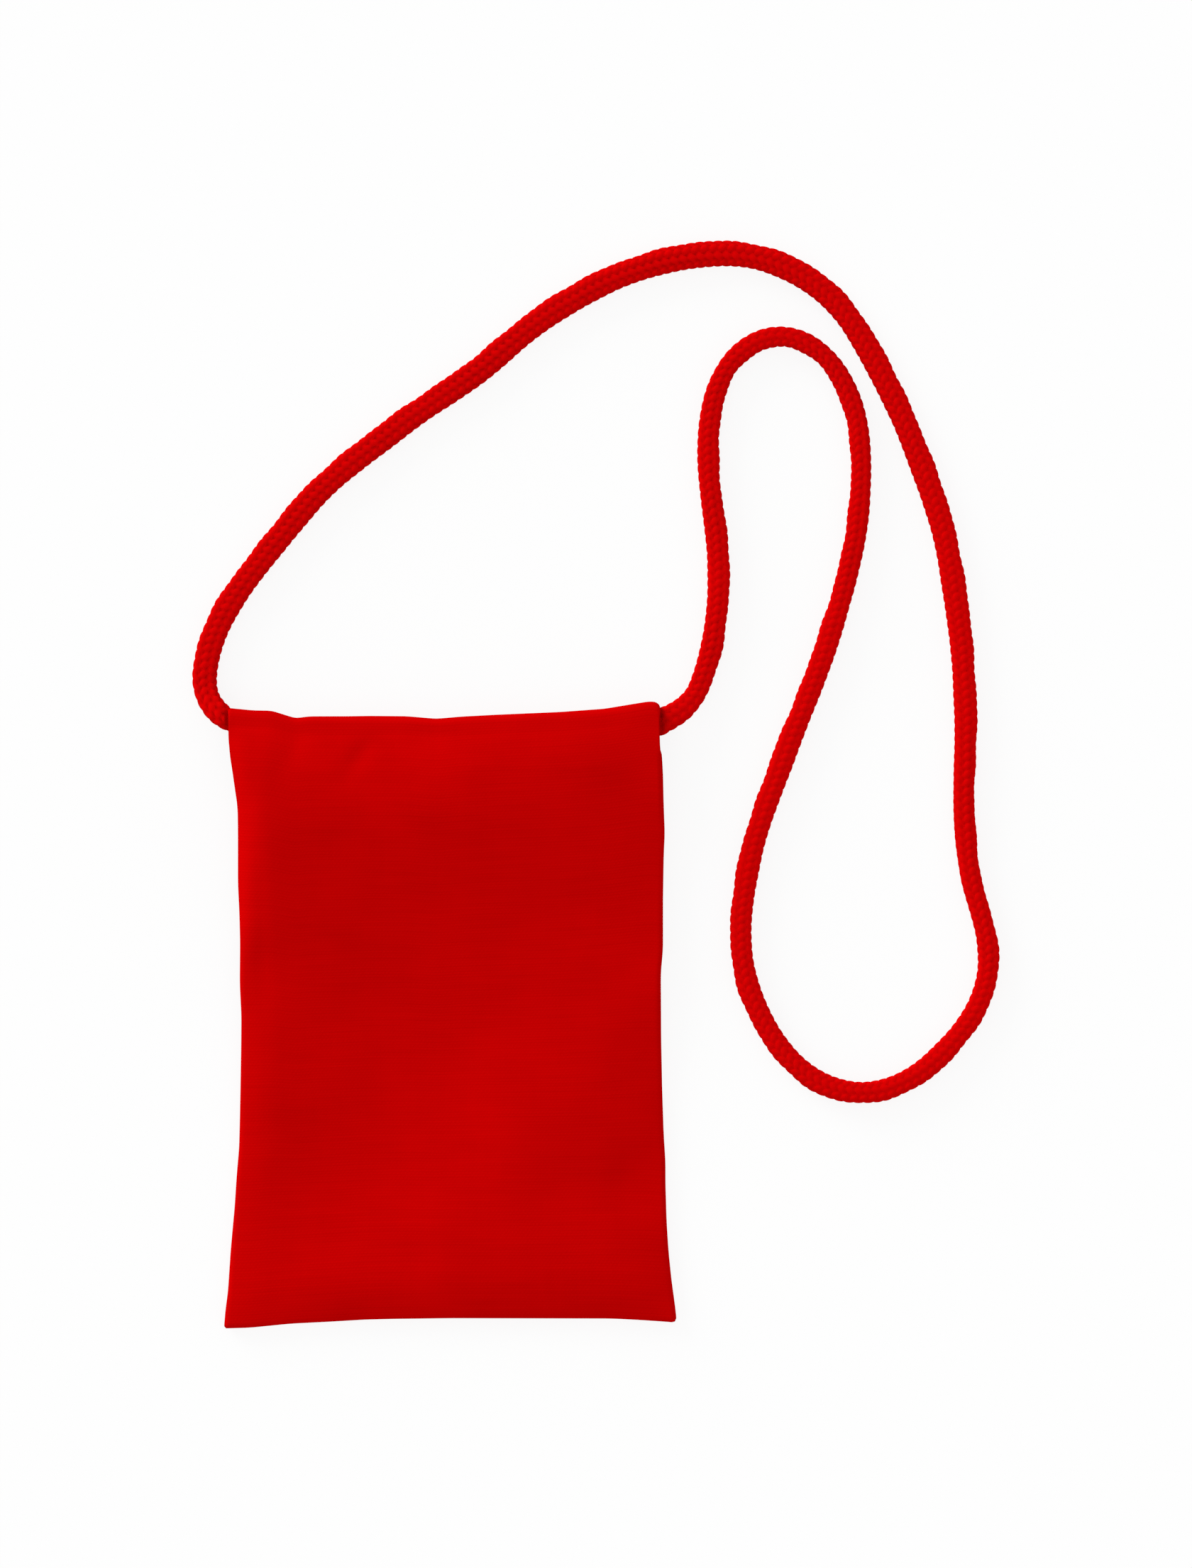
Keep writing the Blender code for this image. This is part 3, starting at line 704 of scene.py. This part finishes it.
def canvas_material():
    """Plain weave: close rows of thick weft, on which the thinner warp leaves staggered dots."""
    material, start, shader = new_material("red_canvas", roughness=0.9, specular=0.0)
    flat = start.node("ShaderNodeUVMap", {"uv_map": "weave"})
    across = start.node("ShaderNodeSeparateXYZ", None, {"Vector": flat})
    along = across.other("Y")
    wobble = flat.noise(scale=90, detail=2.0) - 0.5
    warp = ((across + wobble * WANDER) * (np.pi / WARP_PITCH)).maths("SINE")
    weft = ((along + wobble * WANDER) * (np.pi / WEFT_PITCH)).maths("SINE")
    rows = weft.maths("ABSOLUTE")
    dots = warp * weft
    slubs = flat.noise(scale=1, detail=2.0, stretch=(1900, 60, 1)) * SLUB_SHARES[0]
    slubs = slubs + flat.noise(scale=1, detail=2.0, stretch=(40, 1300, 1)) * SLUB_SHARES[1]
    fade = flat.noise(scale=55, detail=3.0)
    # Painted shade: darker between the weft's rows and on the warp's low dots, lighter on the raised
    # ones.
    shade = (1 - rows) * BETWEEN_ROWS_SHADE - dots * DOT_SHADE
    shade = shade + (slubs - 0.5) * SLUB_SHADE + (fade - 0.5) * FADE_SHADE + CANVAS_SHADE
    plug(shader, "Base Color", shade.mix(CANVAS_RED, CANVAS_DEEP_RED))
    relief = rows * ROW_RELIEF + dots * DOT_RELIEF + (slubs - 0.5)
    plug(shader, "Normal", raised(relief, strength=0.5, distance=0.00005))
    return material


canvas_pouch = fold_pouch()
canvas_pouch.data.materials.clear()
canvas_pouch.data.materials.append(canvas_material())
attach(canvas_pouch, "root")
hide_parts("pouch_shell")


# Sewing thread: red twisted polyester in rows of short stitches, all on the hidden side. They hem
# the flap and the mouth, hold the tape on the flap, and tack the ends of the cord in the corners.
STITCH = (0.0024, 0.00034, 0.00028)  # its length, width and thickness
STITCH_STEP = 0.0029
STITCH_END = 0.4             # its ends begin this far from its middle, as a share of its length
STITCH_PROUD = 0.1           # how far its middle stands off the face, as a share of its thickness
CORNER_POINTS = 7            # in each rounded corner of a row
MOUTH_ROW = (0.0540, 0.0588) # half its length, and its y
MOUTH_POINTS = 61
CORD_TACKS = ((-0.0565, 0.0798, 0.0035), (0.0550, 0.0799, 0.8530))   # x, y, and place along the cord
TACK_HALF = 0.0022           # half the length of the row across each end of the cord
TACK_POINTS = 9
PLY_SHADE = 1.6              # how far its plies' painted shade moves it between the canvas's two reds
THREAD_SHADE = 0.4           # and where it lies between them without the plies


def row_line(row):
    """Points round a sewn row's rectangle, clockwise from the middle of its top side."""
    middle, half, corner = row
    line = [(middle[0], middle[1] + half[1])]
    for quarter, (right, up) in enumerate(((1, 1), (1, -1), (-1, -1), (-1, 1))):
        for angle in np.pi / 2 * (1 - quarter - np.linspace(0, 1, CORNER_POINTS)):
            x = middle[0] + right * (half[0] - corner) + corner * np.cos(angle)
            line.append((x, middle[1] + up * (half[1] - corner) + corner * np.sin(angle)))
    return np.array(line + line[:1])


def front_face(x, y):
    """Height of the front's outer face at those places."""
    low = eased(BOTTOM_EDGE_MM, x)
    high = eased(TOP_EDGE_MM, x, TOP_EDGE_REACH)
    left, right = between_sides(-1, y), between_sides(1, y)
    across = 2 * (x - left) / (right - left) - 1
    return front_point(across, (y - low) / (high - low))[2] - CANVAS / 2


def cord_underside(off_middle, walked):
    """Height of the cord's underside in the bag, at those distances from its middle."""
    half_width, half_thick = cord_section(walked)
    fallen = np.abs(off_middle / half_width) ** CORD_SQUARE
    return CORD_IN_BAG - half_thick * (1 - fallen) ** (1 / CORD_SQUARE)


def sew(stitch, line, face, top=1.0):
    """Copies of the stitch one after another along a line on that face, up to the top."""
    line = np.column_stack([line, np.full(len(line), face - STITCH[2] * STITCH_PROUD)])
    way = np.concatenate([[0.0], np.cumsum(np.linalg.norm(np.diff(line, axis=0), axis=1))])
    count = round(way[-1] / STITCH_STEP)
    copies = []
    for middle in (np.arange(count) + 0.5) * way[-1] / count:
        start = at_length(way, line, middle - STITCH[0] / 2)
        end = at_length(way, line, middle + STITCH[0] / 2)
        place = (start + end) / 2
        if place[1] > top:
            continue
        reach = end - start
        turned = Matrix.Rotation(np.arctan2(reach[1], reach[0]), 4, "Z")
        tilted = Matrix.Rotation(-np.arctan2(reach[2], np.hypot(*reach[:2])), 4, "Y")
        copy = stitch.copy()
        copy.data = stitch.data.copy()
        copy.data.transform(Matrix.Translation(place) @ turned @ tilted)
        scene.collection.objects.link(copy)
        copies.append(copy)
    return copies


def one_stitch():
    """A thin lengthwise bead, whose ends go up into the cloth."""
    bpy.ops.object.select_all(action="DESELECT")
    bpy.ops.mesh.primitive_uv_sphere_add(segments=8, ring_count=6, radius=0.5)
    stitch = bpy.context.object
    bpy.ops.object.mode_set(mode="EDIT")
    bpy.ops.transform.rotate(value=np.pi / 2, orient_axis="Y", center_override=(0, 0, 0))
    bpy.ops.transform.resize(value=STITCH)
    bpy.ops.mesh.select_mode(type="VERT")
    bpy.ops.mesh.select_all(action="DESELECT")
    bpy.ops.object.mode_set(mode="OBJECT")
    for vertex in stitch.data.vertices:
        vertex.select = abs(vertex.co.x) > STITCH[0] * STITCH_END
    bpy.ops.object.mode_set(mode="EDIT")
    bpy.ops.transform.translate(value=(0, 0, STITCH[2] / 2))
    bpy.ops.object.mode_set(mode="OBJECT")
    stitch.data.shade_smooth()
    return stitch


def sewing_thread():
    """Rows round the flap's hem, round the tape on the flap and along the mouth's hem, and
    the tacks across the ends of the cord."""
    stitch = one_stitch()
    copies = sew(stitch, row_line(HEM_ROW), ROW_DIP, HEM_ROW_TOP)
    copies += sew(stitch, row_line(TAPE_ROW), ROW_DIP)
    half, mouth_y = MOUTH_ROW
    x = np.linspace(-half, half, MOUTH_POINTS)
    y = np.full(MOUTH_POINTS, mouth_y)
    copies += sew(stitch, np.column_stack([x, y]), front_face(x, y))
    across = np.linspace(-TACK_HALF, TACK_HALF, TACK_POINTS)
    for x, y, walked in CORD_TACKS:
        row = np.column_stack([np.full(TACK_POINTS, x), y + across])
        copies += sew(stitch, row, cord_underside(across, walked))
    bpy.data.objects.remove(stitch)
    bpy.ops.object.select_all(action="DESELECT")
    for copy in copies:
        copy.select_set(True)
    bpy.context.view_layer.objects.active = copies[0]
    bpy.ops.object.join()
    thread = bpy.context.object
    thread.name = "sewing_thread"
    thread.data.name = "sewing_thread"
    return thread


def thread_material():
    """Twisted polyester: a little sheen, and short darker flecks of painted shade where its plies turn
    under.
    """
    material, start, shader = new_material("red_thread", roughness=0.6, specular=0.06)
    body = start.node("ShaderNodeTexCoord", output="Object")
    plies = body.noise(scale=1, detail=2.0, stretch=(4200, 2600, 1500))
    shade = (plies - 0.5) * PLY_SHADE + THREAD_SHADE
    plug(shader, "Base Color", shade.mix(CANVAS_RED, CANVAS_DEEP_RED))
    plug(shader, "Normal", raised(plies, strength=0.4, distance=0.00005))
    return material


thread = sewing_thread()
thread.data.materials.clear()
thread.data.materials.append(thread_material())
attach(thread, "root")


# Closure: two red tapes, 50 by 20 mm, with a woven ground. The one on the flap carries rows of
# stiff moulded hooks, the one on the front brushed loops. They lie face to face, hook in loop.
TAPE_SIZE = (0.050, 0.020)
TAPE_CORNER = 0.0025
TAPE_GROUND = 0.0004         # thickness of the woven ground
TAPE_EDGE = 0.0014           # bare edge round the pile
HOOK_GROUND_Z = 0.0013       # middle of the hook half's ground, on the flap
LOOP_GROUND_Z = 0.0036       # and of the loop half's, under the front
HOOK_WIRE = 0.00010          # half the thickness of a hook
HOOK_STEM = 0.00055
HOOK_CROOK = 0.00014
HOOK_TURN = 205              # degrees
HOOK_STEP = (0.00155, 0.00140)
HOOK_RED = (0.42, 0.0010, 0.0014, 1)
HOOK_DEEP_RED = (0.26, 0.0006, 0.0008, 1)
LOOP_WIRE = 0.00008
LOOP_ROUND = 0.00030
LOOP_TALL = 2.0              # height of a loop over its width
LOOP_BRUSHED = 0.00030       # how far brushing leans the loops
LOOP_LEANS = ((7.3, 3.1), (2.9, 5.7))    # pace of its lean in x and in y, by row and along a row
LOOP_STEP = (0.00118, 0.00104)
LOOP_SHARE_FROM = 0.25       # its share of the tape starts this part of a step before its middle
LOOP_RED = (0.50, 0.0006, 0.0008, 1)
LOOP_DEEP_RED = (0.33, 0.0004, 0.0005, 1)
RIB_PITCH = (0.0009, 0.0005) # of the woven ground's ribs and of the threads across them
TAPE_SHADE = 0.45            # where a tape lies between its red and its deep red
RIB_SHADE = 0.25             # how far painted shade on its ribs moves it, and their share in its relief
RIB_RELIEF = 0.3


def moulded_hook():
    """One stem that turns over into a crook, standing on z = 0."""
    bpy.ops.object.select_all(action="DESELECT")
    bpy.ops.mesh.primitive_circle_add(vertices=5, radius=HOOK_WIRE, fill_type="NGON")
    bpy.ops.object.mode_set(mode="EDIT")
    bpy.ops.mesh.extrude_region_move(TRANSFORM_OT_translate={"value": (0, 0, HOOK_STEM)})
    bpy.ops.mesh.spin(
        steps=5, angle=np.radians(HOOK_TURN), center=(HOOK_CROOK, 0, HOOK_STEM), axis=(0, -1, 0)
    )
    bpy.ops.mesh.select_all(action="SELECT")
    bpy.ops.mesh.remove_doubles(threshold=WELD)
    bpy.ops.mesh.normals_make_consistent(inside=False)
    bpy.ops.object.mode_set(mode="OBJECT")
    return bpy.context.object


def brushed_loop():
    """One upright loop, cut off where it goes into the ground."""
    bpy.ops.object.select_all(action="DESELECT")
    bpy.ops.mesh.primitive_torus_add(
        major_radius=LOOP_ROUND, minor_radius=LOOP_WIRE, major_segments=8, minor_segments=4
    )
    bpy.ops.object.mode_set(mode="EDIT")
    bpy.ops.transform.rotate(value=np.pi / 2, orient_axis="X", center_override=(0, 0, 0))
    bpy.ops.transform.resize(value=(1, 1, LOOP_TALL))
    bpy.ops.mesh.bisect(
        plane_co=(0, 0, -LOOP_WIRE), plane_no=(0, 0, 1), clear_inner=True, use_fill=True
    )
    bpy.ops.object.mode_set(mode="OBJECT")
    return bpy.context.object


def pile_rows(strand, step):
    """The hook or loop repeated in rows over the tape, all in one mesh, standing on z = 0."""
    counts = [int((size - 2 * TAPE_EDGE) / pitch) for size, pitch in zip(TAPE_SIZE, step)]
    for axis, (count, pitch) in enumerate(zip(counts, step)):
        rows = strand.modifiers.new("rows", "ARRAY")
        rows.use_relative_offset = False
        rows.use_constant_offset = True
        rows.constant_offset_displace = [pitch if axis == each else 0 for each in range(3)]
        rows.count = count
        bpy.ops.object.modifier_apply(modifier="rows")
    first = [(1 - count) * pitch / 2 for count, pitch in zip(counts, step)]
    strand.data.transform(Matrix.Translation((*first, 0)))
    return strand


def brush(pile):
    """Leans each loop a little its own way, more towards its tip."""
    places = np.empty(len(pile.data.vertices) * 3, np.float32)
    pile.data.vertices.foreach_get("co", places)
    x, y, z = places.reshape(-1, 3).T
    lean = np.maximum(z, 0) / (LOOP_ROUND * LOOP_TALL) * LOOP_BRUSHED
    row = np.round(y / LOOP_STEP[1] + LOOP_SHARE_FROM)
    place = np.round(x / LOOP_STEP[0] + LOOP_SHARE_FROM)
    leant_x = x + lean * np.sin(row * LOOP_LEANS[0][0] + place * LOOP_LEANS[0][1])
    leant_y = y + lean * np.cos(row * LOOP_LEANS[1][0] + place * LOOP_LEANS[1][1])
    moved = np.stack([leant_x, leant_y, z], axis=-1)
    pile.data.vertices.foreach_set("co", moved.reshape(-1).astype(np.float32))


def closure_tape(name, pile, ground_z, face_down=False):
    """The woven ground with rounded corners, joined to its pile and put in its place."""
    bpy.ops.object.select_all(action="DESELECT")
    bpy.ops.mesh.primitive_cube_add(size=1)
    ground = bpy.context.object
    bpy.ops.object.mode_set(mode="EDIT")
    bpy.ops.transform.resize(value=(*TAPE_SIZE, TAPE_GROUND))
    bpy.ops.mesh.select_mode(type="EDGE")
    bpy.ops.mesh.select_all(action="DESELECT")
    bpy.ops.object.mode_set(mode="OBJECT")
    for edge in ground.data.edges:
        ends = [ground.data.vertices[end].co.z for end in edge.vertices]
        edge.select = abs(ends[0] - ends[1]) > TAPE_GROUND / 2
    bpy.ops.object.mode_set(mode="EDIT")
    bpy.ops.mesh.bevel(offset=TAPE_CORNER, segments=6, affect="EDGES")
    bpy.ops.object.mode_set(mode="OBJECT")
    pile.data.transform(Matrix.Translation((0, 0, TAPE_GROUND / 2)))
    pile.select_set(True)
    bpy.ops.object.join()
    ground.name = name
    ground.data.name = name
    turned = Matrix.Rotation(np.pi if face_down else 0, 4, "Y")
    ground.data.transform(Matrix.Translation((0, TAPE_MIDDLE_Y, ground_z)) @ turned)
    return ground


def tape_material(name, colour, deep_colour, roughness, specular, fluff):
    """Ribs of the woven ground, crossed by finer threads, with the pile's fibres over them."""
    material, start, shader = new_material(name, roughness, specular)
    body = start.node("ShaderNodeTexCoord", output="Object")
    place = start.node("ShaderNodeSeparateXYZ", None, {"Vector": body})
    lengthwise = (place * (np.pi / RIB_PITCH[0])).maths("SINE")
    crosswise = (place.other("Y") * (np.pi / RIB_PITCH[1])).maths("SINE")
    ribs = lengthwise * crosswise
    fibres = body.noise(scale=1, detail=3.0, stretch=(1500, 1500, 3500))
    # Painted shade: lighter on the ribs' crowns and darker in the hollows between them, as in the
    # relief.
    shade = TAPE_SHADE - ribs * RIB_SHADE + (fibres - 0.5) * fluff
    plug(shader, "Base Color", shade.mix(colour, deep_colour))
    plug(shader, "Normal", raised(ribs * RIB_RELIEF + fibres * fluff, strength=0.6, distance=0.00012))
    return material


hook_fastener = closure_tape("hook_fastener", pile_rows(moulded_hook(), HOOK_STEP), HOOK_GROUND_Z)
hook_fastener.data.materials.clear()
hook_fastener.data.materials.append(
    tape_material("red_hook_tape", HOOK_RED, HOOK_DEEP_RED, roughness=0.45, specular=0.35, fluff=0.6)
)
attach(hook_fastener, "root")
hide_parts("hook_tape")

loops = pile_rows(brushed_loop(), LOOP_STEP)
brush(loops)
loop_fastener = closure_tape("loop_fastener", loops, LOOP_GROUND_Z, face_down=True)
loop_fastener.data.materials.clear()
loop_fastener.data.materials.append(
    tape_material("red_loop_tape", LOOP_RED, LOOP_DEEP_RED, roughness=0.95, specular=0.05, fluff=1.8)
)
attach(loop_fastener, "root")
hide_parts("loop_tape")


# Table and light: a plain white table, a large soft light low on the upper left and an even
# light from all round, which together show a colour about as it is written.
TABLE_SIZE = 6.0
TABLE_DROP = 0.0002          # a hair under the flap, so that the two faces don't coincide
TABLE_WHITE = (0.92, 0.92, 0.92, 1)
TABLE_COVER = 0.88           # how much of what is seen of the table is pure white and not lit
KEY_LIGHT = 2.4
KEY_HEIGHT = 15              # degrees above the table
KEY_SIDE = 45                # degrees from the top of the view towards its left
KEY_SPREAD = 30              # degrees: how large the light looks from the bag
ROUND_LIGHT = 0.81


def seen_white(start):
    """1 on what the camera sees, straight or in a reflection or through glass, and 0 elsewhere."""
    ray = start.node("ShaderNodeLightPath")
    outputs = ray.socket.node.outputs
    for name in ("Is Glossy Ray", "Is Transmission Ray"):
        ray = ray.maths("MAXIMUM", Socket(start.tree, outputs[name]))
    return ray


bpy.ops.object.select_all(action="DESELECT")
bpy.ops.mesh.primitive_plane_add(size=TABLE_SIZE, location=(0, 0, -TABLE_DROP))
table = bpy.context.object
table.name = "table"
white, start, table_shader = new_material("table_white", roughness=0.9, specular=0.0)
table_shader.inputs["Base Color"].default_value = TABLE_WHITE
seen = seen_white(start)
lit = start.node("ShaderNodeEmission", None, {"Color": (1, 1, 1, 1), "Strength": 1.0})
own_look = Socket(start.tree, table_shader.outputs[0])
cover = start.node("ShaderNodeMixShader", None, {0: seen * TABLE_COVER, 1: own_look, 2: lit})
start.tree.links.new(cover.socket, start.tree.nodes["Material Output"].inputs["Surface"])
table.data.materials.append(white)

key_turn = (np.radians(90 - KEY_HEIGHT), 0, np.radians(180 + KEY_SIDE))
bpy.ops.object.light_add(type="SUN", rotation=key_turn)
key = bpy.context.object
key.data.energy = KEY_LIGHT
key.data.angle = np.radians(KEY_SPREAD)

world = bpy.data.worlds.new("round_light")
scene.world = world
world.use_nodes = True
sky = Socket(world.node_tree)
level = seen_white(sky) * (1 - ROUND_LIGHT) + ROUND_LIGHT
world.node_tree.nodes["Background"].inputs["Color"].default_value = (1, 1, 1, 1)
world.node_tree.links.new(level.socket, world.node_tree.nodes["Background"].inputs["Strength"])
